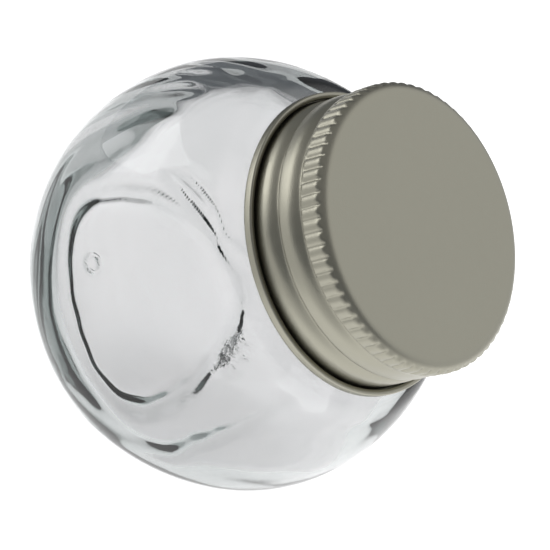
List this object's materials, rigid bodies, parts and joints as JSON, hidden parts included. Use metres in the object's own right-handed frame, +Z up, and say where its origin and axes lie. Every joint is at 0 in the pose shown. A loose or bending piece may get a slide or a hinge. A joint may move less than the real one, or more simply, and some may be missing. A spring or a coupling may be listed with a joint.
{
  "type": "slanted glass jar with screw cap",
  "caption": "Small clear glass jar, a rounded disc with flat sides and a slanted neck, closed by an aluminium screw cap with a knurled edge.",
  "frame": {"origin": "centre of the flat base that the jar stands on", "axes": "+Z up; +X towards the side the neck leans to, so the neck axis runs at 45 degrees between +X and +Z; the flat sides face -Y and +Y"},
  "size_m": [0.0725, 0.0468, 0.0682],
  "materials": {
    "clear_glass": "clear polished moulded glass",
    "cap_aluminium": "satin, fine matt grain",
    "liner_foam": "soft white foam"
  },
  "bodies": {
    "jar": {"jar_body": "clear_glass"},
    "liner": {"cap_liner": "liner_foam"},
    "cap": {"screw_cap": "cap_aluminium"}
  },
  "joints": [
    {"name": "cap_rise", "type": "slide", "parent": "jar", "child": "liner", "axis": [0.7071, 0, 0.7071], "range_m": [0, 0.0256]},
    {"name": "cap_unscrew", "type": "hinge", "parent": "liner", "child": "cap", "pos_m": [0, 0, 0.028], "axis": [0.7071, 0, 0.7071], "range_deg": [0, 2160]}
  ],
  "couplings": [
    {"joint": "cap_rise", "follows": "cap_unscrew", "m_per_rad": 0.00067376}
  ]
}
